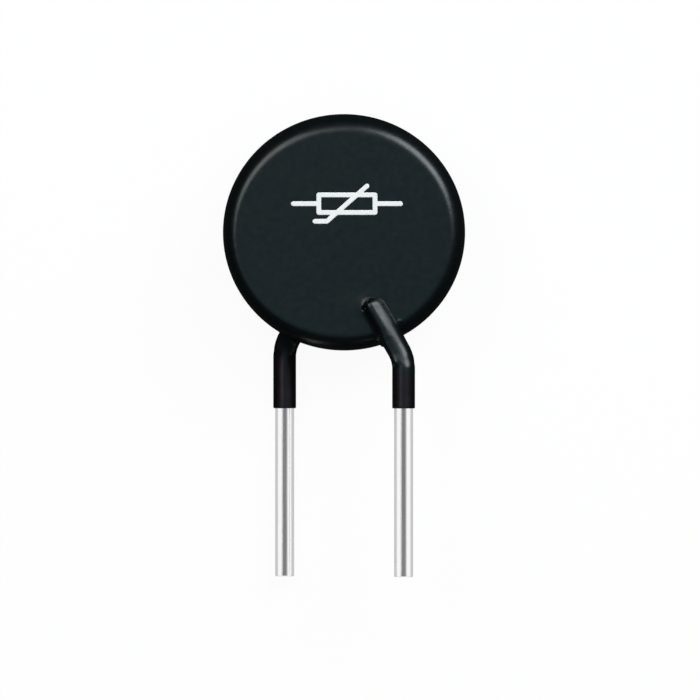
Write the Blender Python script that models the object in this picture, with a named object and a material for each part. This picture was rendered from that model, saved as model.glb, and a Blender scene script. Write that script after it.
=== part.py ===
"""A radial disc thermistor: a silvered ceramic disc with a bent wire soldered to each face, all dipped in resin.

It lies on its back, on the resin over the back lead. Metres, +Z up. The origin is on the surface that it lies on,
under the middle of its outline. +Y runs along the leads towards the disc, and +X from the back lead to the front one.
"""

import math

import bmesh
import bpy
from mathutils import Vector

MM = 0.001

# Ceramic disc and the silver film on its two faces
CERAMIC_D = 9.0 * MM
CERAMIC_T = 1.9 * MM
CERAMIC_CHAMFER = 0.12 * MM
SILVER_MARGIN = 0.2 * MM  # bare ceramic left round the film
SILVER_T = 0.03 * MM

# Lead wires, each bent once where it comes onto the disc
WIRE_D = 0.8 * MM
LEAD_PITCH = 5.0 * MM
BEND_RADIUS = 1.53 * MM
BEND_ANGLE = math.radians(29.5)
FRONT_BEND_DROP = 0.75 * MM  # from the disc's lower edge down to where the bend starts
BACK_BEND_DROP = 0.25 * MM
TAIL_RUN = 2.2 * MM  # straight wire past the bend
BARE_LENGTH = 7.07 * MM

# Solder mound that holds a wire's tail to the silver
SOLDER_LENGTH = 1.4 * MM
SOLDER_WIDTH = 1.24 * MM
SOLDER_HEIGHT = 0.42 * MM
SOLDER_BED = 0.08 * MM  # solder under the wire
SOLDER_PAST_TAIL = 0.5 * MM

# Resin coating
COAT_SIDES = 0.59 * MM  # past the ceramic's rim, across the leads
COAT_ENDS = 0.47 * MM  # past the ceramic's rim, along the leads
COAT_OVER_SOLDER = 0.09 * MM
EDGE_ROUND = 0.78 * MM  # how far in from the rim the flat face ends
EDGE_FULLNESS = 2.4  # exponent of the rim's section: 2 is an ellipse, and more is squarer
SLEEVE_WALL = 0.08 * MM  # resin on the legs, the fit gap included
SLEEVE_DROP = 2.43 * MM  # coated legs below the disc's lower edge
SLEEVE_PAST_TAIL = 0.16 * MM
SLEEVE_ROUND = 0.2 * MM

FIT_GAP = 0.02 * MM  # between pieces that touch
THROUGH = 1.0 * MM  # how far a cutter runs past what it cuts

OVAL_SIDES = 72
RIM_STEPS = 8
WIRE_SIDES = 24
BEND_STEPS = 6
ROUND_STEPS = 4
MOUND_SIDES = 32
MOUND_STEPS = 5

# Heights above the ceramic's middle plane, on either side
CERAMIC_TOP = CERAMIC_T / 2
SILVER_BASE = CERAMIC_TOP + FIT_GAP
SILVER_TOP = SILVER_BASE + SILVER_T
SOLDER_BASE = SILVER_TOP + FIT_GAP
WIRE_AXIS = SOLDER_BASE + SOLDER_BED + FIT_GAP + WIRE_D / 2
FACE_TOP = SOLDER_BASE + SOLDER_HEIGHT + FIT_GAP + COAT_OVER_SOLDER

# Sizes that follow from those above
SILVER_R = CERAMIC_D / 2 - SILVER_MARGIN
COAT_HALF_WIDTH = CERAMIC_D / 2 + COAT_SIDES
COAT_HALF_LENGTH = CERAMIC_D / 2 + COAT_ENDS
SLEEVE_R = WIRE_D / 2 + SLEEVE_WALL
OVERALL_LENGTH = 2 * COAT_HALF_LENGTH + SLEEVE_DROP + BARE_LENGTH
DISC_CENTRE = Vector((0, OVERALL_LENGTH / 2 - COAT_HALF_LENGTH, WIRE_AXIS + SLEEVE_R))
BEND_DROPS = {"front": FRONT_BEND_DROP, "back": BACK_BEND_DROP}


def clear_scene():
    for obj in list(bpy.data.objects):
        bpy.data.objects.remove(obj)


def make_material(name, color, roughness, metallic=0.0):
    material = bpy.data.materials.new(name)
    material.use_nodes = True
    shader = material.node_tree.nodes["Principled BSDF"]
    shader.inputs["Base Color"].default_value = (*color, 1)
    shader.inputs["Roughness"].default_value = roughness
    shader.inputs["Metallic"].default_value = metallic
    return material


def place(name, data, parent, location=(0, 0, 0), turn=(0, 0, 0)):
    """Links an object, or an empty where data is None, at a place in its parent's frame."""
    obj = bpy.data.objects.new(name, data)
    bpy.context.scene.collection.objects.link(obj)
    obj.parent = parent
    obj.location = location
    obj.rotation_euler = turn
    return obj


def place_helper(name, mesh, parent, location=(0, 0, 0), turn=(0, 0, 0)):
    """A shape that a Boolean joins or cuts with, and that isn't a piece itself."""
    obj = place(name, mesh, parent, location, turn)
    obj.hide_render = True
    obj.display_type = "WIRE"
    return obj


def combine(obj, other, operation):
    modifier = obj.modifiers.new(f"{operation.lower()} {other.name}", "BOOLEAN")
    modifier.operation = operation
    modifier.solver = "EXACT"
    modifier.object = other


def loft(name, rings):
    """A closed mesh through rings of points, with a flat cap on the first and the last."""
    bm = bmesh.new()
    loops = [[bm.verts.new(point) for point in ring] for ring in rings]
    for low, high in zip(loops, loops[1:]):
        for i in range(len(low)):
            j = (i + 1) % len(low)
            bm.faces.new((low[i], low[j], high[j], high[i]))
    bm.faces.new(loops[0])
    bm.faces.new(loops[-1])
    bmesh.ops.recalc_face_normals(bm, faces=bm.faces)
    mesh = bpy.data.meshes.new(name)
    bm.to_mesh(mesh)
    bm.free()
    mesh.shade_smooth()
    mesh.set_sharp_from_angle(angle=math.radians(40))
    return mesh


def oval(half_x, half_y, z, sides=OVAL_SIDES):
    angles = [math.tau * i / sides for i in range(sides)]
    return [Vector((half_x * math.cos(a), half_y * math.sin(a), z)) for a in angles]


def round_plate(name, radius, half_thickness, chamfer=0.0):
    """A flat cylinder about its own middle, with both rims chamfered where chamfer is given."""
    profile = [(radius, half_thickness - chamfer)]
    if chamfer:
        profile.append((radius - chamfer, half_thickness))
    profile = [(r, -z) for r, z in reversed(profile)] + profile
    return loft(name, [oval(r, r, z) for r, z in profile])


def dipped_body(name):
    """The resin's outside round the disc: flat oval faces with a full, rounded rim between them."""
    rings = []
    for step in range(-RIM_STEPS, RIM_STEPS + 1):
        turn = math.pi / 2 * step / RIM_STEPS
        inset = EDGE_ROUND * (1 - abs(math.cos(turn)) ** (2 / EDGE_FULLNESS))
        height = math.copysign(FACE_TOP * abs(math.sin(turn)) ** (2 / EDGE_FULLNESS), turn)
        rings.append(oval(COAT_HALF_WIDTH - inset, COAT_HALF_LENGTH - inset, height))
    return loft(name, rings)


def bent_wire(name, radius, leg_length, past_tail=0.0, tail_round=0.0):
    """A round rod with its origin where the bend starts: the leg runs down -Y, and the tail up and towards -X."""
    stations = [(Vector((0, -leg_length, 0)), 0.0, radius)]
    for step in range(BEND_STEPS + 1):
        turn = BEND_ANGLE * step / BEND_STEPS
        centre = Vector((BEND_RADIUS * (math.cos(turn) - 1), BEND_RADIUS * math.sin(turn), 0))
        stations.append((centre, turn, radius))
    bend_end = stations[-1][0]
    along = Vector((-math.sin(BEND_ANGLE), math.cos(BEND_ANGLE), 0))
    tail_length = TAIL_RUN + past_tail
    steps = ROUND_STEPS if tail_round else 0
    for step in range(steps + 1):
        part = math.pi / 2 * step / max(steps, 1)
        reach = tail_length - tail_round * (1 - math.sin(part))
        narrowing = tail_round * (1 - math.cos(part))
        stations.append((bend_end + along * reach, BEND_ANGLE, radius - narrowing))
    rings = []
    for centre, turn, r in stations:
        outward = Vector((math.cos(turn), math.sin(turn), 0))
        upward = Vector((0, 0, 1))
        angles = [math.tau * i / WIRE_SIDES for i in range(WIRE_SIDES)]
        rings.append([centre + r * (math.cos(a) * outward + math.sin(a) * upward) for a in angles])
    return loft(name, rings)


def solder_mound(name, grown_by=0.0):
    """A low mound, longest along Y, standing on Z = 0. Grown, it reaches that much further on every side."""
    rings = []
    for step in range(MOUND_STEPS):
        turn = math.pi / 2 * step / MOUND_STEPS
        half_x = (SOLDER_WIDTH / 2 + grown_by) * math.cos(turn)
        half_y = (SOLDER_LENGTH / 2 + grown_by) * math.cos(turn)
        height = (SOLDER_HEIGHT + 2 * grown_by) * math.sin(turn) - grown_by
        rings.append(oval(half_x, half_y, height, MOUND_SIDES))
    return loft(name, rings)


def wire_place(side):
    """Where the bend starts, in the frame of the lead's own side of the disc."""
    return Vector((LEAD_PITCH / 2, -(COAT_HALF_LENGTH + BEND_DROPS[side]), WIRE_AXIS))


def solder_place(side):
    """The mound's middle, under the wire's tail."""
    along = Vector((-math.sin(BEND_ANGLE), math.cos(BEND_ANGLE), 0))
    bend_end = BEND_RADIUS * Vector((math.cos(BEND_ANGLE) - 1, math.sin(BEND_ANGLE), 0))
    reach = TAIL_RUN + SOLDER_PAST_TAIL - SOLDER_LENGTH / 2
    middle = wire_place(side) + bend_end + along * reach
    return Vector((middle.x, middle.y, SOLDER_BASE))


def build_side(side, frame, materials):
    """The film, lead and solder of one face, and the room that they take in the resin."""
    sleeve_length = SLEEVE_DROP - BEND_DROPS[side]
    lead = bent_wire("lead", WIRE_D / 2, sleeve_length + BARE_LENGTH)
    lead_at = wire_place(side)
    place(f"{side}_lead", lead, frame, lead_at).data.materials.append(materials["lead"])
    room = bent_wire("lead_room", WIRE_D / 2 + FIT_GAP, sleeve_length + THROUGH, FIT_GAP)
    lead_room = place_helper(f"{side}_lead_room", room, frame, lead_at)
    sleeve = bent_wire("sleeve", SLEEVE_R, sleeve_length, SLEEVE_PAST_TAIL, SLEEVE_ROUND)
    sleeve_helper = place_helper(f"{side}_sleeve", sleeve, frame, lead_at)

    film = round_plate("electrode", SILVER_R, SILVER_T / 2)
    film_at = (0, 0, (SILVER_BASE + SILVER_TOP) / 2)
    place(f"{side}_electrode", film, frame, film_at).data.materials.append(materials["silver"])

    solder_at = solder_place(side)
    turn = (0, 0, BEND_ANGLE)
    solder = place(f"{side}_solder", solder_mound("solder"), frame, solder_at, turn)
    solder.data.materials.append(materials["solder"])
    combine(solder, lead_room, "DIFFERENCE")
    solder_room = place_helper(
        f"{side}_solder_room", solder_mound("solder_room", FIT_GAP), frame, solder_at, turn
    )
    return sleeve_helper, [lead_room, solder_room]


def main():
    clear_scene()
    materials = {
        "resin": make_material("resin", (0.014, 0.019, 0.021), 0.4),
        "ceramic": make_material("ceramic", (0.05, 0.048, 0.046), 0.8),
        "silver": make_material("silver", (0.86, 0.84, 0.80), 0.45, 1.0),
        "solder": make_material("solder", (0.60, 0.60, 0.61), 0.35, 1.0),
        "lead": make_material("lead", (0.80, 0.80, 0.82), 0.2, 1.0),
    }
    centre = place("disc_centre", None, None, DISC_CENTRE)

    disc = round_plate("ceramic_disc", CERAMIC_D / 2, CERAMIC_TOP, CERAMIC_CHAMFER)
    place("ceramic_disc", disc, centre).data.materials.append(materials["ceramic"])

    coating = place("resin_coating", dipped_body("resin_coating"), centre)
    coating.data.materials.append(materials["resin"])
    disc_room = round_plate("disc_room", CERAMIC_D / 2 + FIT_GAP, SILVER_BASE, CERAMIC_CHAMFER)
    film_room = round_plate("film_room", SILVER_R + FIT_GAP, SOLDER_BASE)
    rooms = [
        place_helper("disc_room", disc_room, centre),
        place_helper("film_room", film_room, centre),
    ]
    for side, turn in (("front", 0.0), ("back", math.pi)):
        frame = place(f"{side}_face", None, centre, turn=(0, turn, 0))
        sleeve, side_rooms = build_side(side, frame, materials)
        combine(coating, sleeve, "UNION")
        rooms += side_rooms
    for room in rooms:
        combine(coating, room, "DIFFERENCE")


main()
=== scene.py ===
"""A radial disc thermistor that lies on its back on a white table, seen from straight above."""

import math

import bmesh
import bpy
import numpy as np
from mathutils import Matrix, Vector, noise


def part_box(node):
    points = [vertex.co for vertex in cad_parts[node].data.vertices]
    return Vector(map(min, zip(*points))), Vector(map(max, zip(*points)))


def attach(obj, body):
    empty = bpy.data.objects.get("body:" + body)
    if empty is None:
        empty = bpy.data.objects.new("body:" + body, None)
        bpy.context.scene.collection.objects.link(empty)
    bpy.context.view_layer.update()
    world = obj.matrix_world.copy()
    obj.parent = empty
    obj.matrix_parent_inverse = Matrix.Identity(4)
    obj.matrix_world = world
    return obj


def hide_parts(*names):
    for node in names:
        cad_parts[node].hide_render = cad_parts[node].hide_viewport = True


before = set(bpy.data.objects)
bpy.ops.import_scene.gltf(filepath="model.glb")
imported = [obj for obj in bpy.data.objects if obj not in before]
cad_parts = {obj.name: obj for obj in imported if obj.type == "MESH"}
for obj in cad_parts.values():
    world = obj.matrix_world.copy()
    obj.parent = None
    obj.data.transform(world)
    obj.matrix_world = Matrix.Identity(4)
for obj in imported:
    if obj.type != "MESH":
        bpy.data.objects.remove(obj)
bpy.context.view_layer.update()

MM = 0.001

# The resin's outside, in millimetres, as on the solids but for the drop
EDGE_ROUND = 0.78
EDGE_FULLNESS = 2.4
BEND_RADIUS = 1.53
BEND_ANGLE = math.radians(29.5)
TAIL_RUN = 2.2
TAIL_DROP = 0.1  # how far the tail lies below its leg
TAIL_DROP_RUN = 1.05  # the length from the bend's start over which it comes down

# How the dip softens it
RIM_SHIFT = 0.07  # how far the flat face lies towards the legs, so that the rim is wider at the far side
FILLET_INSIDE = 0.27  # where a sleeve meets the disc, on the side that its lead bends towards
FILLET_OUTSIDE = 0.005
TIP_ROUND = 0.3
TIP_PAST_WIRE = 0.26  # from the end of the tail's run to the resin's tip, before it is rounded
TIP_CURVE = 0.8  # how fast the tip's end curves back towards its sides
WIRE_COVER = 0.02  # the least resin over a wire
WIRE_COVER_BLEND = 0.05
WEB_R = 0.36
WEB_RISE = 0.45  # how far towards the disc's middle plane the resin on a leg's root lies
WEB_RUN = 0.9  # over this length it thins to about a third
WEB_BLEND = 0.3
SLEEVE_END_ROUND = 0.035
SKIN_CELL = 0.063  # the cell of the skin's mesh

# The camera's frame, in millimetres at the disc's middle plane
FRAME_WIDTH = 29.42
FRAME_MIDDLE = Vector((0.251, -4.947))
CAMERA_HEIGHT = 900.0
SENSOR_WIDTH = 36.0


def box_mm(node):
    low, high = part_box(node)
    return low / MM, high / MM


# What the frame gives: the disc's middle, the resin's oval, and the legs
DISC_LOW, DISC_HIGH = box_mm("ceramic_disc")
COAT_LOW, COAT_HIGH = box_mm("resin_coating")
LEAD_LOW, LEAD_HIGH = box_mm("front_lead")
CENTRE = (DISC_LOW + DISC_HIGH) / 2
HALF_WIDTH = COAT_HIGH.x - CENTRE.x
HALF_LENGTH = COAT_HIGH.y - CENTRE.y
WIRE_R = (LEAD_HIGH.z - LEAD_LOW.z) / 2
WIRE_AXIS = (LEAD_HIGH.z + LEAD_LOW.z) / 2 - CENTRE.z
SLEEVE_R = COAT_HIGH.z - CENTRE.z - WIRE_AXIS
LEG_X = LEAD_HIGH.x - WIRE_R
SLEEVE_END = COAT_LOW.y - CENTRE.y
WIRE_END = LEAD_LOW.y - CENTRE.y
WALL_Y = -HALF_LENGTH * math.sqrt(1 - (LEG_X / HALF_WIDTH) ** 2)  # the disc's edge over a leg


def face_height():
    """The flat face's height over the disc's middle, off the solid."""
    above = Vector((CENTRE.x, CENTRE.y, 10 * COAT_HIGH.z)) * MM
    hit, place, _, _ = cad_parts["resin_coating"].ray_cast(above, Vector((0, 0, -1)))
    if not hit:
        raise ValueError("the resin has no face over the disc's middle")
    return place.z / MM - CENTRE.z


FACE_TOP = face_height()


def bend_start(side):
    """Where a lead's bend starts along Y from the disc's middle, worked out from its solid's far end."""
    _, high = box_mm(f"{side}_lead")
    rise = BEND_RADIUS * math.sin(BEND_ANGLE) + TAIL_RUN * math.cos(BEND_ANGLE)
    return high.y - CENTRE.y - rise - WIRE_R * math.sin(BEND_ANGLE)


SIDES = {"front": 1, "back": -1}
BEND_Y = {side: bend_start(side) for side in SIDES}


# Fields: each takes points in millimetres from the disc's middle, and gives the distance outside a shape

TINY = 1e-6  # keeps a divisor off zero


def smooth_min(a, b, width):
    mix = np.clip(0.5 + 0.5 * (b - a) / width, 0, 1)
    return b + (a - b) * mix - width * mix * (1 - mix)


def smooth_max(a, b, width):
    return -smooth_min(-a, -b, width)


def waves(points, size, seed):
    """A smooth random value from about -1 to 1 at each point, with bumps about this size."""
    offset = Vector((seed * 17.3, seed * 5.1, seed * 9.7))
    return np.array([noise.noise(Vector(p) / size + offset) for p in points])


# How much narrower the rim's round is, at these degrees from +X towards +Y
RIM_NARROWS = {
    0: 0.06, 18: 0.04, 36: 0, 60: -0.01, 90: 0, 120: 0.01, 140: 0.09, 160: 0.12,
    180: 0.17, 200: 0.19, 225: 0.13, 250: 0, 270: 0, 290: 0.02, 315: 0.09, 340: 0.04,
}
RIM_WAVES = 6


def smoothed_round(values):
    """The table's value at each degree, with only its longest waves kept."""
    spectrum = np.fft.rfft(np.interp(range(360), list(values), list(values.values()), period=360))
    spectrum[RIM_WAVES:] = 0
    return np.fft.irfft(spectrum)


RIM_TABLE = smoothed_round(RIM_NARROWS)
LEAST_STEEPNESS = 0.1  # keeps the distance finite deep inside the disc


def body_field(points):
    """The dipped disc: flat oval faces with a full, rounded rim of uneven width."""
    inner = np.array([HALF_WIDTH - EDGE_ROUND, HALF_LENGTH - EDGE_ROUND])
    middle_y = points[:, 1] + RIM_SHIFT
    flat = np.column_stack([points[:, 0], middle_y])
    reach = np.linalg.norm(flat / inner, axis=1)
    slope = np.linalg.norm(flat / inner**2, axis=1)
    around = np.degrees(np.arctan2(middle_y, points[:, 0]))
    narrower = np.interp(around, range(360), RIM_TABLE, period=360)
    past = np.maximum(reach * (reach - 1) / np.maximum(slope, TINY) - narrower, 0)
    from_middle = np.maximum(np.hypot(points[:, 0], middle_y), TINY)
    rim_width = EDGE_ROUND - narrower + RIM_SHIFT * middle_y / from_middle
    u, v = past / rim_width, np.abs(points[:, 2]) / FACE_TOP
    total = np.maximum(u**EDGE_FULLNESS + v**EDGE_FULLNESS, TINY)
    steepness = total ** (1 / EDGE_FULLNESS - 1) * np.hypot(
        u ** (EDGE_FULLNESS - 1) / EDGE_ROUND, v ** (EDGE_FULLNESS - 1) / FACE_TOP
    )
    return (total ** (1 / EDGE_FULLNESS) - 1) / np.maximum(steepness, LEAST_STEEPNESS)


# The front of a sleeve in section: its slope in degrees at offsets outwards from the wire's middle
BEND_SLOPES = {
    -0.43: -72, -0.38: -52, -0.34: -20, -0.30: 2, -0.25: 9, -0.15: 13, -0.05: 15,
    0.05: 18, 0.12: 23, 0.20: 32, 0.30: 47, 0.38: 63, 0.44: 72,
}
FACE_SLOPES = {
    -0.38: -72, -0.33: -60, -0.26: -38, -0.20: -18, -0.12: 3, -0.04: 13, 0: 17,
    0.04: 20, 0.08: 23.5, 0.12: 28, 0.16: 33.5, 0.20: 35.1, 0.32: 36.6, 0.36: 43, 0.46: 55,
}
TIP_SLOPES = {
    -0.38: -72, -0.33: -60, -0.26: -38, -0.20: -18, -0.13: 2, -0.04: 14.5, 0: 19,
    0.03: 23.5, 0.06: 32, 0.10: 35.6, 0.32: 36.6, 0.36: 43, 0.46: 55,
}
# How far the top of each stands past the sleeve's radius, in their order along the tail
SECTION_RISES = ((BEND_SLOPES, 0.03), (FACE_SLOPES, 0.03), (TIP_SLOPES, 0.04))
# From where to where along the tail each replaces the one before
SECTION_RUNS = ((0.1, 1.3), (1.3, 2.0))
SECTION_OFFSETS = np.linspace(-0.9, 0.9, 721)
SECTION_BLEND = 0.04  # where it meets the sides
BEND_SECTION_FULL = 0.45  # the share of the bend's turn over which the round sleeve takes it on
BEND_REACH = SLEEVE_R + 0.005
WIDE_REACH = 0.64
WIDENS = (0.6, 1.1)  # from where to where along the tail its sides move out to that reach
SIDE_FULLNESS = 4


def section(slopes, top):
    """The height over the wire's middle at each of the offsets, and how steeply it falls."""
    fall = np.tan(np.radians(np.interp(SECTION_OFFSETS, list(slopes), list(slopes.values()))))
    height = -np.cumsum(fall) * (SECTION_OFFSETS[1] - SECTION_OFFSETS[0])
    return height - height.max() + top, fall


SECTIONS = [section(slopes, SLEEVE_R + rise) for slopes, rise in SECTION_RISES]


def smooth_step(value, low, high):
    share = np.clip((value - low) / (high - low), 0, 1)
    return share * share * (3 - 2 * share)


def tail_drop(run):
    return TAIL_DROP * smooth_step(run, 0, TAIL_DROP_RUN)


class Route:
    """Where points are by one lead's route, in its own plan frame from the hub of its bend."""

    def __init__(self, points, side):
        self.x = SIDES[side] * points[:, 0] - (LEG_X - BEND_RADIUS)
        self.y = points[:, 1] - BEND_Y[side]
        self.z = points[:, 2] * SIDES[side] - WIRE_AXIS
        self.turn = np.clip(np.arctan2(self.y, self.x), 0, BEND_ANGLE)
        self.along = self.y * math.cos(BEND_ANGLE) - self.x * math.sin(BEND_ANGLE)
        self.off = self.x * math.cos(BEND_ANGLE) + self.y * math.sin(BEND_ANGLE) - BEND_RADIUS
        arc_x, arc_y = BEND_RADIUS * np.cos(self.turn), BEND_RADIUS * np.sin(self.turn)
        bend = np.hypot(self.x - arc_x, self.y - arc_y)
        leg = np.hypot(self.x - BEND_RADIUS, np.maximum(self.y, 0))
        tail = np.hypot(self.off, np.minimum(self.along, 0))
        self.distance = np.minimum(np.minimum(leg, bend), tail)
        self.z += tail_drop(BEND_RADIUS * self.turn + np.maximum(self.along, 0))
        round_bend = np.hypot(self.x, np.maximum(self.y, 0)) - BEND_RADIUS
        self.outwards = np.where(self.along > 0, self.off, round_bend)

    def rod(self, radius):
        return np.hypot(self.distance, self.z) - radius


def tail_field(route):
    """The resin round a bend and a tail: flat on top over the bend, then a ridge with a lit flank."""
    parts = []
    for height, fall in SECTIONS:
        over = route.z - np.interp(route.outwards, SECTION_OFFSETS, height)
        parts.append(over / np.hypot(1, np.interp(route.outwards, SECTION_OFFSETS, fall)))
    front = parts[0]
    for before, after, run in zip(parts, parts[1:], SECTION_RUNS):
        front = front + (after - before) * smooth_step(route.along, *run)
    reach = BEND_REACH + (WIDE_REACH - SLEEVE_R) * smooth_step(route.along, *WIDENS)
    boxy = (route.distance**SIDE_FULLNESS + route.z**SIDE_FULLNESS) ** (1 / SIDE_FULLNESS) - reach
    covered = route.rod(WIRE_R + WIRE_COVER)
    return smooth_min(smooth_max(front, boxy, SECTION_BLEND), covered, WIRE_COVER_BLEND)


def web_field(points, route):
    """The resin that ran off the disc's wall onto a leg, on the side of the disc's middle plane."""
    share = np.exp(-np.maximum(WALL_Y - points[:, 1], 0) / WEB_RUN)
    return np.hypot(route.distance, route.z + WEB_RISE * share) - WEB_R * share


def sleeve_field(points, route):
    """The resin along a whole lead, with its square end on the leg and its rounded tip."""
    sleeve = route.rod(SLEEVE_R)
    bent = smooth_step(route.turn / BEND_ANGLE, 0, BEND_SECTION_FULL)
    sleeve = sleeve + (tail_field(route) - sleeve) * bent
    sleeve = smooth_min(sleeve, web_field(points, route), WEB_BLEND)
    past_tip = route.along - TAIL_RUN - TIP_PAST_WIRE + TIP_CURVE * route.outwards**2
    sleeve = smooth_max(sleeve, past_tip, TIP_ROUND)
    return smooth_max(sleeve, SLEEVE_END - points[:, 1], SLEEVE_END_ROUND)


def blob_field(points, middle, radii):
    scaled = (points - middle) / radii
    return (np.linalg.norm(scaled, axis=1) - 1) * min(radii)


# Small marks that the dip left by the front tail, as place and radii
SWELLINGS = (
    ((0.83, -3.06, FACE_TOP), (0.24, 0.18, 0.025)),
    ((2.34, -3.73, FACE_TOP - 0.02), (0.03, 0.03, 0.02)),
    ((1.64, -4.70, 0.8), (0.13, 0.12, 0.6)),
)
PITS = (
    ((0.86, -3.20, FACE_TOP + 0.03), (0.09, 0.08, 0.10)),
    ((1.08, -2.95, FACE_TOP + 0.12), (0.09, 0.07, 0.12)),
    ((2.23, -4.86, 1.97), (0.10, 0.08, 0.03)),
    ((2.20, -5.05, 1.98), (0.08, 0.08, 0.03)),
)
MARK_SOFTNESS = 0.08


def skin_field(points):
    skin = body_field(points)
    for side in SIDES:
        route = Route(points, side)
        lean = np.clip(0.5 + route.outwards / SLEEVE_R, 0, 1)
        fillet = FILLET_INSIDE + (FILLET_OUTSIDE - FILLET_INSIDE) * lean
        skin = smooth_min(skin, sleeve_field(points, route), fillet)
    for middle, radii in SWELLINGS:
        skin = smooth_min(skin, blob_field(points, middle, radii), MARK_SOFTNESS)
    for middle, radii in PITS:
        skin = smooth_max(skin, -blob_field(points, middle, radii), MARK_SOFTNESS)
    return skin


def gradient(field, points, step=1e-3):
    slopes = []
    for shift in step * np.eye(points.shape[1]):
        slopes.append((field(points + shift) - field(points - shift)) / (2 * step))
    return np.stack(slopes, axis=1)


LEAST_SLOPE = 0.05  # under this squared slope a point moves less than the whole way


def settle(field, points, rounds=4):
    """The points moved straight to the field's zero."""
    for _ in range(rounds):
        slope = gradient(field, points)
        size = np.maximum((slope**2).sum(axis=1), LEAST_SLOPE)
        points = points - (field(points) / size)[:, None] * slope
    return points


def surface_net(field, low, high, step):
    """Quads round a field's zero, with one point for each grid cell that it crosses."""
    axes = [np.arange(a - 2 * step, b + 2 * step, step) for a, b in zip(low, high)]
    grid = np.stack(np.meshgrid(*axes, indexing="ij"), axis=-1)
    inside = field(grid.reshape(-1, 3)).reshape(grid.shape[:3]) < 0
    corners = sum(
        inside[i : i - 1 or None, j : j - 1 or None, k : k - 1 or None].astype(int)
        for i in (0, 1) for j in (0, 1) for k in (0, 1)
    )
    crossed = (corners > 0) & (corners < 8)
    index = np.full(crossed.shape, -1)
    index[crossed] = np.arange(crossed.sum())
    points = grid[:-1, :-1, :-1][crossed] + step / 2
    quads = []
    for axis in range(3):
        ahead = np.roll(inside, -1, axis=axis)
        across, up = np.eye(3, dtype=int)[[(axis + 1) % 3, (axis + 2) % 3]]
        for leaves, order in ((inside & ~ahead, (0, 1, 2, 3)), (ahead & ~inside, (3, 2, 1, 0))):
            at = np.argwhere(leaves)
            ring = [at - across - up, at - up, at, at - across]
            quads.append(np.stack([index[tuple(ring[n].T)] for n in order], axis=1))
    return points, np.concatenate(quads)


def relaxed(field, points, quads, rounds=3):
    """Evens out the net: each point moves to the middle of its neighbours, then back to the surface."""
    ends = np.concatenate([quads[:, [n, (n + 1) % 4]] for n in range(4)])
    count = np.bincount(ends[:, 0], minlength=len(points))[:, None]
    for _ in range(rounds):
        total = np.zeros_like(points)
        np.add.at(total, ends[:, 0], points[ends[:, 1]])
        points = settle(field, total / count, rounds=2)
    return points


def add_object(name, data):
    item = bpy.data.objects.new(name, data)
    bpy.context.scene.collection.objects.link(item)
    return item


def add_mesh(name, points, faces, material, normals=None):
    """A piece of the object from points in millimetres from the disc's middle."""
    mesh = bpy.data.meshes.new(name)
    mesh.from_pydata(((points + np.array(CENTRE)) * MM).tolist(), [], [list(map(int, f)) for f in faces])
    mesh.shade_smooth()
    if normals is not None:
        mesh.normals_split_custom_set_from_vertices(normals.tolist())
    mesh.materials.append(material)
    piece = add_object(name, mesh)
    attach(piece, "root")
    return piece


# Materials


class Nodes:
    """A material's node tree, with a short way to add a node and link its inputs."""

    def __init__(self, name):
        self.material = bpy.data.materials.new(name)
        self.material.use_nodes = True
        self.tree = self.material.node_tree
        self.shader = self.tree.nodes["Principled BSDF"]
        self.output = self.tree.nodes["Material Output"]
        self.place = self.add("ShaderNodeTexCoord").outputs["Object"]

    def add(self, kind, inputs=None, **settings):
        node = self.tree.nodes.new(kind)
        for key, value in settings.items():
            setattr(node, key, value)
        for key, value in (inputs or {}).items():
            self.set(node, key, value)
        return node

    def set(self, node, key, value):
        if isinstance(value, bpy.types.NodeSocket):
            self.tree.links.new(value, node.inputs[key])
        else:
            node.inputs[key].default_value = value

    def look(self, **inputs):
        """Sets the shader's sockets, named with underscores for spaces."""
        for key, value in inputs.items():
            self.set(self.shader, key.replace("_", " "), value)

    def noise(self, size_mm, detail, place=None):
        """Soft random value, with features about this many millimetres across."""
        inputs = {
            "Vector": self.place if place is None else place,
            "Scale": 1 / (size_mm * MM),
            "Detail": detail,
        }
        return self.add("ShaderNodeTexNoise", inputs).outputs["Fac"]

    def spread(self, value, low, high, to_low, to_high):
        inputs = {0: value, 1: low, 2: high, 3: to_low, 4: to_high}
        return self.add("ShaderNodeMapRange", inputs).outputs["Result"]

    def mix(self, factor, first, second):
        node = self.add("ShaderNodeMix", data_type="RGBA")
        for key, value in (("Factor", factor), ("A", first), ("B", second)):
            socket = next(s for s in node.inputs if s.name == key and s.enabled)
            if isinstance(value, bpy.types.NodeSocket):
                self.tree.links.new(value, socket)
            else:
                socket.default_value = value if key == "Factor" else (*value, 1)
        return next(s for s in node.outputs if s.enabled)

    def stretched(self, x, y, z):
        """The place, with each axis scaled."""
        inputs = {"Vector": self.place, "Scale": (x, y, z)}
        return self.add("ShaderNodeMapping", inputs).outputs["Vector"]

    def bump(self, height, depth_mm, normal=None):
        inputs = {"Height": height, "Distance": depth_mm * MM, "Strength": 1.0}
        if normal is not None:
            inputs["Normal"] = normal
        return self.add("ShaderNodeBump", inputs).outputs["Normal"]


# The sleeves' resin is thin, and of a warmer black than the disc's
THIN_TOWARDS = (0.2, 1.0, 0.0)
THIN_RESIN = (-1.0, -0.6)  # from wholly thin to wholly thick that way, in millimetres


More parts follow.
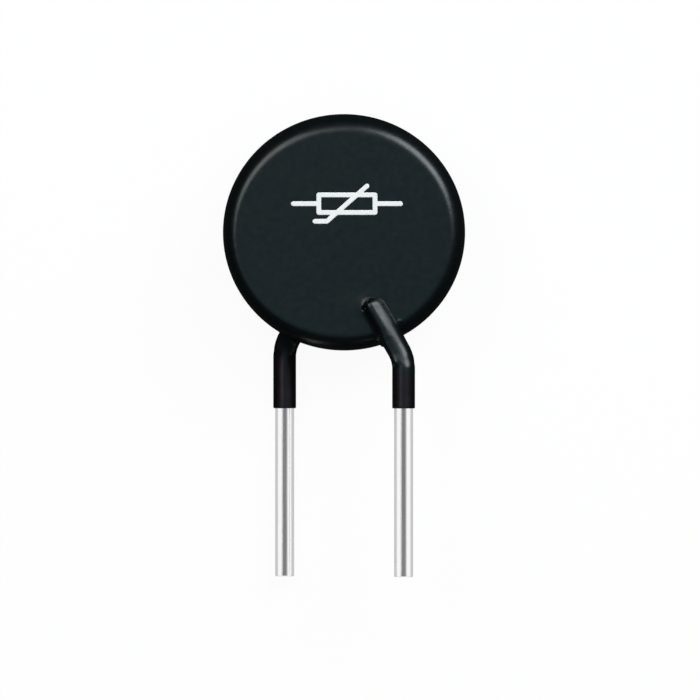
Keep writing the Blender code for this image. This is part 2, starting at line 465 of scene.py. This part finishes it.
def resin_material():
    """Black dipped resin: a satin gloss with a faint orange peel and fine filler grain."""
    n = Nodes("black_resin")
    cloud = n.noise(1.6, 2)
    grain = n.noise(0.05, 2)
    thick = n.mix(n.spread(cloud, 0.35, 0.65, 0, 1), (0.0007, 0.0029, 0.0036), (0.0010, 0.0031, 0.0039))
    along = n.add("ShaderNodeVectorMath", {0: n.place, 1: THIN_TOWARDS}, operation="DOT_PRODUCT")
    thin = n.spread(along.outputs["Value"], *(reach * MM for reach in THIN_RESIN), 1, 0)
    tint = n.mix(thin, thick, (0.0013, 0.0022, 0.0032))
    specks = n.spread(grain, 0.70, 0.78, 0, 0.5)
    peel = n.bump(n.noise(0.5, 2), 0.006)
    fine = n.bump(grain, 0.0012, peel)
    n.look(
        Base_Color=n.mix(specks, tint, (0.03, 0.034, 0.036)),
        Roughness=n.spread(n.noise(0.3, 3), 0.3, 0.7, 0.30, 0.36),
        IOR=1.56,
        Specular_Tint=n.mix(thin, (1, 1, 1), (1.24, 0.89, 0.98)),
        Normal=fine,
    )
    return n.material


def wire_material():
    """Bright tinned wire, with fine lines along it from the drawing die."""
    n = Nodes("tinned_wire")
    lines = n.noise(0.03, 3, n.stretched(1, 0.012, 1))
    cloud = n.noise(0.7, 3)
    n.look(
        Metallic=1.0,
        Base_Color=n.mix(cloud, (0.90, 0.89, 0.905), (0.94, 0.93, 0.945)),
        Roughness=n.spread(lines, 0.3, 0.7, 0.17, 0.24),
        Normal=n.bump(lines, 0.0006),
    )
    return n.material


def ink_material():
    """White printing ink, a little uneven, with the odd pinhole."""
    n = Nodes("white_ink")
    film = n.noise(0.25, 3)
    pinholes = n.spread(n.noise(0.045, 1), 0.74, 0.78, 0, 0.7)
    white = n.mix(film, (0.80, 0.81, 0.81), (0.90, 0.90, 0.90))
    n.look(
        Base_Color=n.mix(pinholes, white, (0.20, 0.21, 0.21)),
        Roughness=n.spread(film, 0.3, 0.7, 0.42, 0.55),
        Normal=n.bump(n.noise(0.09, 2), 0.0015),
    )
    return n.material


def ceramic_material():
    """Sintered metal oxide: matt and dark, with pressed grain."""
    n = Nodes("sintered_oxide")
    grain = n.noise(0.06, 4)
    n.look(
        Base_Color=n.mix(grain, (0.035, 0.033, 0.032), (0.065, 0.062, 0.060)),
        Roughness=n.spread(grain, 0.3, 0.7, 0.72, 0.88),
        Normal=n.bump(grain, 0.006),
    )
    return n.material


def soft_metal_material(name, dark, light, rough):
    """Fired silver or set solder: satin, mottled as it flowed."""
    n = Nodes(name)
    mottle = n.noise(0.35, 4)
    n.look(
        Metallic=1.0,
        Base_Color=n.mix(mottle, dark, light),
        Roughness=n.spread(mottle, 0.3, 0.7, rough - 0.08, rough + 0.08),
        Normal=n.bump(n.noise(0.08, 3), 0.003),
    )
    return n.material


# Pieces

# Where the skin's mesh is finer: on the face by the front tail, and by all marks but the lowest
FINE_ABOVE = 0.8 * FACE_TOP
FOOT_ALONG = (0.4, TAIL_RUN + 0.5)
FOOT_OUTWARDS = (0.34, 0.66)
TIP_ALONG = (TAIL_RUN - 0.25, TAIL_RUN + 0.5)
TIP_OUTWARDS = (-0.76, 0.76)
FINE_MARKS_ABOVE = FACE_TOP - 0.1
FINE_MARK_MARGIN = 0.15
FINE_CUTS = 3


def between(values, low, high):
    return (values > low) & (values < high)


def by_small_forms(points):
    """Which points are by the front ridge's sharp foot, its tip or the small marks."""
    route = Route(points, "front")
    foot = between(route.along, *FOOT_ALONG) & between(route.outwards, *FOOT_OUTWARDS)
    tip = between(route.along, *TIP_ALONG) & between(route.outwards, *TIP_OUTWARDS)
    chosen = (points[:, 2] > FINE_ABOVE) & (foot | tip)
    for middle, radii in SWELLINGS + PITS:
        if middle[2] > FINE_MARKS_ABOVE:
            chosen |= np.linalg.norm(points - middle, axis=1) < max(radii) + FINE_MARK_MARGIN
    return chosen


def cut_finer(points, quads, chosen):
    """Each face whose points are all chosen becomes sixteen."""
    mesh = bmesh.new()
    corners = [mesh.verts.new(point) for point in points.tolist()]
    for quad in quads.tolist():
        mesh.faces.new([corners[n] for n in quad])
    mesh.verts.index_update()
    edges = [edge for edge in mesh.edges if all(chosen[corner.index] for corner in edge.verts)]
    bmesh.ops.subdivide_edges(mesh, edges=edges, cuts=FINE_CUTS, use_grid_fill=True)
    mesh.verts.index_update()
    points = np.array([corner.co[:] for corner in mesh.verts])
    faces = [[corner.index for corner in face.verts] for face in mesh.faces]
    mesh.free()
    return points, faces


def make_skin(material):
    low = np.array(COAT_LOW - CENTRE)
    high = np.array(COAT_HIGH - CENTRE)
    points, quads = surface_net(skin_field, low, high, SKIN_CELL)
    points = relaxed(skin_field, settle(skin_field, points), quads)
    points, faces = cut_finer(points, quads, by_small_forms(points))
    points = settle(skin_field, points)
    slope = gradient(skin_field, points)
    normals = slope / np.linalg.norm(slope, axis=1)[:, None]
    points = np.clip(points, low, high)
    skin = add_mesh("resin_skin", points, faces, material, normals)
    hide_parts("resin_coating")
    return skin


WIRE_SIDES = 64
WIRE_RING_STEP = 0.12
WIRE_EDGE_ROUND = 0.03
WIRE_EDGE_RINGS = 4
WIRE_BEND_RINGS = 12
WIRE_TAIL_RINGS = 8
WIRE_SHARP_EDGE = math.radians(50)
TAIL_CUT = 0.12  # keeps the hidden end clear of the pits in the resin


def wire_rings(side):
    """A lead's rings from cut end to tail, each as its middle, turn, radius and run past the leg."""
    rings = []
    for angle in np.linspace(math.pi / 2, 0, WIRE_EDGE_RINGS):
        y = WIRE_END + WIRE_EDGE_ROUND * (1 - math.sin(angle))
        rings.append(((LEG_X, y), 0.0, WIRE_R - WIRE_EDGE_ROUND * (1 - math.cos(angle)), 0.0))
    count = round((BEND_Y[side] - WIRE_END) / WIRE_RING_STEP)
    for y in np.linspace(WIRE_END + WIRE_EDGE_ROUND, BEND_Y[side], count)[1:]:
        rings.append(((LEG_X, y), 0.0, WIRE_R, 0.0))
    hub = np.array([LEG_X - BEND_RADIUS, BEND_Y[side]])
    for turn in np.linspace(0, BEND_ANGLE, WIRE_BEND_RINGS)[1:]:
        middle = hub + BEND_RADIUS * np.array([math.cos(turn), math.sin(turn)])
        rings.append((middle, turn, WIRE_R, BEND_RADIUS * turn))
    along = np.array([-math.sin(BEND_ANGLE), math.cos(BEND_ANGLE)])
    for reach in np.linspace(0, TAIL_RUN - TAIL_CUT, WIRE_TAIL_RINGS)[1:]:
        rings.append((middle + along * reach, BEND_ANGLE, WIRE_R, BEND_RADIUS * BEND_ANGLE + reach))
    return rings


def make_wire(side, material):
    sign = SIDES[side]
    angles = np.linspace(0, math.tau, WIRE_SIDES, endpoint=False)
    points = []
    for (x, y), turn, radius, run in wire_rings(side):
        out = radius * np.cos(angles)
        height = sign * (WIRE_AXIS - tail_drop(run)) + radius * np.sin(angles)
        ring = [sign * (x + out * math.cos(turn)), y + out * math.sin(turn), height]
        points.append(np.stack(ring, axis=1))
    starts = [row * WIRE_SIDES for row in range(len(points))]
    faces = []
    for here, ahead in zip(starts, starts[1:]):
        for n in range(WIRE_SIDES):
            m = (n + 1) % WIRE_SIDES
            faces.append((here + n, here + m, ahead + m, ahead + n)[::sign])
    cut_end = list(range(WIRE_SIDES))
    tail_end = [starts[-1] + n for n in cut_end]
    faces += [cut_end[:: -sign], tail_end[::sign]]
    wire = add_mesh(f"{side}_wire", np.concatenate(points), faces, material)
    wire.data.set_sharp_from_angle(angle=WIRE_SHARP_EDGE)
    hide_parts(f"{side}_lead")
    return wire


# The printed symbol, from its own middle: a box between two lines, and a slanting line with a foot
SYMBOL_AT = Vector((0.12, 1.19))
SYMBOL_STROKE = 0.22
SYMBOL_HALF_WIDTH = 2.25
BOX_HALF_WIDTH = 1.18
BOX_HALF_HEIGHT = 0.37
SLANT_HALF_HEIGHT = 0.74
SLANT_HALF_WIDTH = 0.84
SLANT_FOOT = 0.5
INK_CELL = 0.016
INK_THICKNESS = 0.014
INK_WOBBLE = 0.003
INK_WOBBLE_SIZE = 0.12
INK_SEED = 3


def symbol_strokes():
    w, h = BOX_HALF_WIDTH, BOX_HALF_HEIGHT
    corners = [(-w, -h), (w, -h), (w, h), (-w, h)]
    strokes = [(corners[n], corners[(n + 1) % 4]) for n in range(4)]
    strokes += [((-SYMBOL_HALF_WIDTH, 0), (-w, 0)), ((w, 0), (SYMBOL_HALF_WIDTH, 0))]
    foot = (-SLANT_HALF_WIDTH, -SLANT_HALF_HEIGHT)
    strokes += [(foot, (SLANT_HALF_WIDTH, SLANT_HALF_HEIGHT)), ((foot[0] - SLANT_FOOT, foot[1]), foot)]
    return strokes


def ink_field(points):
    """The distance outside the symbol's strokes."""
    nearest = np.full(len(points), np.inf)
    for start, end in symbol_strokes():
        start, end = np.array(start), np.array(end)
        run = end - start
        share = np.clip((points - start) @ run / (run @ run), 0, 1)
        nearest = np.minimum(nearest, np.linalg.norm(points - start - share[:, None] * run, axis=1))
    return nearest - SYMBOL_STROKE / 2


def make_symbol(material):
    """A thin film of ink on the face, with a round edge and the slight wobble of print."""
    reach = np.array([SYMBOL_HALF_WIDTH, SLANT_HALF_HEIGHT]) + SYMBOL_STROKE
    counts = np.ceil(2 * reach / INK_CELL).astype(int)
    xs, ys = (np.linspace(-r, r, c + 1) for r, c in zip(reach, counts))
    points = np.stack(np.meshgrid(xs, ys, indexing="ij"), axis=-1).reshape(-1, 2)
    number = np.arange(len(points)).reshape(len(xs), len(ys))
    corners = [number[:-1, :-1], number[1:, :-1], number[1:, 1:], number[:-1, 1:]]
    quads = np.stack(corners, axis=-1).reshape(-1, 4)
    quads = quads[(ink_field(points)[quads] < INK_CELL / 2).all(axis=1)]
    used, quads = np.unique(quads, return_inverse=True)
    quads = quads.reshape(-1, 4)
    points = points[used]
    rim = (np.bincount(quads.ravel()) < 4).astype(float)
    for _ in range(3):
        outside = ink_field(points) * rim
        points = points - outside[:, None] * gradient(ink_field, points)
    flat = np.column_stack([points, np.zeros(len(points))])
    wobble = INK_WOBBLE * waves(flat, INK_WOBBLE_SIZE, INK_SEED)
    points = points + wobble[:, None]
    depth = np.clip(-ink_field(points) / (2 * INK_THICKNESS), 0, 1)
    heights = FACE_TOP - INK_THICKNESS + 2 * INK_THICKNESS * np.sqrt(depth)
    spots = np.column_stack([points + np.array(SYMBOL_AT), heights])
    symbol = add_mesh("printed_symbol", spots, quads, material)
    thickness = symbol.modifiers.new("thickness", "SOLIDIFY")
    thickness.thickness = INK_THICKNESS * MM
    thickness.offset = -1


def dress_inner_pieces():
    """The pieces inside the resin keep their solids, and get their own finish."""
    silver = soft_metal_material("fired_silver", (0.78, 0.76, 0.72), (0.90, 0.88, 0.84), 0.42)
    solder = soft_metal_material("set_solder", (0.52, 0.52, 0.53), (0.66, 0.66, 0.67), 0.32)
    finishes = {
        "ceramic_disc": ceramic_material(),
        "front_electrode": silver,
        "back_electrode": silver,
        "front_solder": solder,
        "back_solder": solder,
    }
    for node, material in finishes.items():
        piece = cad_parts[node]
        piece.data.materials.clear()
        piece.data.materials.append(material)


# The table, the lamps and the camera

# What the gloss sees, in millimetres: a dim box round the object, and veils of light in it
TENT_HALF = 160.0
TENT_HEIGHT = 290.0
TENT_LIFT = 0.01  # the height of its floor, just over the table
TENT_LEVELS = {"wall": 0.028, "top": 0.09, "floor": 0.015}
WIRE_VEIL_HALF = 130.0
WIRE_VEIL_INSET = 2
WIRE_VEIL_LEVELS = {"wall": 0.97, "top": 0.1, "floor": 0.585}
WIRE_VEIL_HIGH = 0.22  # the share of its walls' light that is left at the top
VEIL_FALL = (0.125, 0.290)  # the heights in metres between which it falls
RESIN_VEIL_INSET = 4
RESIN_VEIL_TOP = (0.004, 0.113, 0.148)


def seen_in_gloss_only(card):
    """Hides the card from everything but reflections."""
    card.visible_camera = False
    card.visible_diffuse = False
    card.visible_transmission = False
    card.visible_volume_scatter = False
    card.visible_shadow = False


def glow_material(name, level):
    """A card of an even colour."""
    n = Nodes(name)
    glow = n.add("ShaderNodeEmission", {"Color": (*level, 1), "Strength": 1.0})
    n.tree.links.new(glow.outputs[0], n.output.inputs["Surface"])
    return n.material


def veil_material(name, level, high_share=None):
    """Adds light and lets through what is behind it. The light may fall off with height."""
    n = Nodes(name)
    glow = n.add("ShaderNodeEmission", {"Color": (*level, 1), "Strength": 1.0})
    if high_share is not None:
        height = n.add("ShaderNodeSeparateXYZ", {"Vector": n.place}).outputs["Z"]
        n.set(glow, "Strength", n.spread(height, *VEIL_FALL, 1.0, high_share))
    through = n.add("ShaderNodeBsdfTransparent")
    both = n.add("ShaderNodeAddShader", {0: glow.outputs[0], 1: through.outputs[0]})
    n.tree.links.new(both.outputs[0], n.output.inputs["Surface"])
    return n.material


def only_for(card, pieces):
    """Lets the card's light reach only these pieces."""
    group = bpy.data.collections.new(f"{card.name}_receivers")
    for piece in pieces:
        group.objects.link(piece)
    card.light_linking.receiver_collection = group


def stage_box(name, half, inset, walls, top, floor):
    """A box round the object, in a look each for its walls, top and floor. None leaves a side open."""
    mesh = bpy.data.meshes.new(name)
    h, low, high = half - inset, TENT_LIFT + inset / 100, TENT_HEIGHT - inset
    round_plan = ((-1, -1), (1, -1), (1, 1), (-1, 1))
    corners = [(x * h, y * h + CENTRE.y, z) for z in (low, high) for x, y in round_plan]
    sides = [((n, (n + 1) % 4, (n + 1) % 4 + 4, n + 4), walls) for n in range(4)]
    sides += [((4, 5, 6, 7), top), ((0, 3, 2, 1), floor)]
    kept = [(face, look) for face, look in sides if look is not None]
    mesh.from_pydata((np.array(corners) * MM).tolist(), [], [face for face, _ in kept])
    looks = list(dict.fromkeys(look for _, look in kept))
    for look in looks:
        mesh.materials.append(look)
    for polygon, (_, look) in zip(mesh.polygons, kept):
        polygon.material_index = looks.index(look)
    box = add_object(name, mesh)
    seen_in_gloss_only(box)
    return box


def seen_directly(tree):
    """1 for rays from the camera, off gloss or through glass, and 0 for the light on the object."""
    path = tree.nodes.new("ShaderNodeLightPath")
    either = path.outputs["Is Camera Ray"]
    for name in ("Is Glossy Ray", "Is Transmission Ray"):
        larger = tree.nodes.new("ShaderNodeMath")
        larger.operation = "MAXIMUM"
        tree.links.new(either, larger.inputs[0])
        tree.links.new(path.outputs[name], larger.inputs[1])
        either = larger.outputs[0]
    return either


TABLE_HALF = 1200.0
TABLE_GLOW = 0.94  # the share of the table's white that the object's shadow leaves alone


def make_table():
    n = Nodes("white_table")
    n.look(Base_Color=(0.9, 0.9, 0.9, 1), Roughness=0.9)
    glow = n.add("ShaderNodeEmission", {"Color": (1, 1, 1, 1), "Strength": 1.0})
    share = n.add("ShaderNodeMath", {0: seen_directly(n.tree), 1: TABLE_GLOW}, operation="MULTIPLY")
    mix = n.add("ShaderNodeMixShader", {0: share.outputs[0], 1: n.shader.outputs[0], 2: glow.outputs[0]})
    n.tree.links.new(mix.outputs[0], n.output.inputs["Surface"])
    mesh = bpy.data.meshes.new("table")
    h = TABLE_HALF * MM
    mesh.from_pydata([(-h, -h, 0), (h, -h, 0), (h, h, 0), (-h, h, 0)], [], [(0, 1, 2, 3)])
    mesh.materials.append(n.material)
    add_object("table", mesh)


SKY_LIGHT = 0.35  # on the object, where the camera sees white
LAMP_DISTANCE = 150
LAMP_SIZE = 100


def light_world():
    world = bpy.data.worlds.new("studio")
    bpy.context.scene.world = world
    world.use_nodes = True
    tree = world.node_tree
    background = tree.nodes["Background"]
    background.inputs["Color"].default_value = (1, 1, 1, 1)
    level = tree.nodes.new("ShaderNodeMapRange")
    tree.links.new(seen_directly(tree), level.inputs[0])
    level.inputs[3].default_value = SKY_LIGHT
    level.inputs[4].default_value = 1.0
    tree.links.new(level.outputs[0], background.inputs["Strength"])


def add_lamp(name, azimuth, elevation, radiance, tint):
    """A square soft box that faces the disc. Azimuth runs from +X towards +Y."""
    data = bpy.data.lights.new(name, "AREA")
    data.color = tint
    data.shape = "SQUARE"
    data.size = LAMP_SIZE * MM
    data.energy = radiance * math.pi * (LAMP_SIZE * MM) ** 2
    lamp = add_object(name, data)
    a, e = math.radians(azimuth), math.radians(elevation)
    towards = Vector((math.cos(a) * math.cos(e), math.sin(a) * math.cos(e), math.sin(e)))
    lamp.location = (CENTRE + towards * LAMP_DISTANCE) * MM
    lamp.rotation_euler = towards.to_track_quat("Z", "Y").to_euler()
    lamp.visible_camera = False


def light_object():
    light_world()
    add_lamp("key_light", azimuth=45, elevation=37, radiance=5.6, tint=(0.92, 1.0, 1.05))
    add_lamp("fill_light", azimuth=137, elevation=50, radiance=2.8, tint=(0.97, 1.0, 1.0))


def make_tent(resin_pieces, wires):
    """The box that the gloss sees, with a veil in it for the wires and a bluish one over the resin."""
    looks = [glow_material(f"tent_{side}", (level,) * 3) for side, level in TENT_LEVELS.items()]
    stage_box("tent", TENT_HALF, 0, *looks)
    levels = WIRE_VEIL_LEVELS
    walls = veil_material("wall_veil", (levels["wall"],) * 3, WIRE_VEIL_HIGH)
    top = veil_material("wire_top_veil", (levels["top"],) * 3)
    floor = veil_material("floor_veil", (levels["floor"],) * 3)
    only_for(stage_box("wire_veil", WIRE_VEIL_HALF, WIRE_VEIL_INSET, walls, top, floor), wires)
    top = veil_material("top_veil", RESIN_VEIL_TOP)
    only_for(stage_box("resin_veil", TENT_HALF, RESIN_VEIL_INSET, None, top, None), resin_pieces)


def aim_camera():
    data = bpy.data.cameras.new("camera")
    data.sensor_width = SENSOR_WIDTH
    data.lens = SENSOR_WIDTH * CAMERA_HEIGHT / FRAME_WIDTH
    data.clip_start = 0.01
    data.clip_end = 10
    camera = add_object("camera", data)
    middle = FRAME_MIDDLE + CENTRE.xy
    camera.location = Vector((middle.x, middle.y, CENTRE.z + CAMERA_HEIGHT)) * MM
    bpy.context.scene.camera = camera


def main():
    skin = make_skin(resin_material())
    tinned = wire_material()
    wires = [make_wire(side, tinned) for side in SIDES]
    make_symbol(ink_material())
    dress_inner_pieces()
    make_table()
    light_object()
    make_tent([skin], wires)
    aim_camera()
    bpy.context.scene.view_settings.view_transform = "Standard"


main()
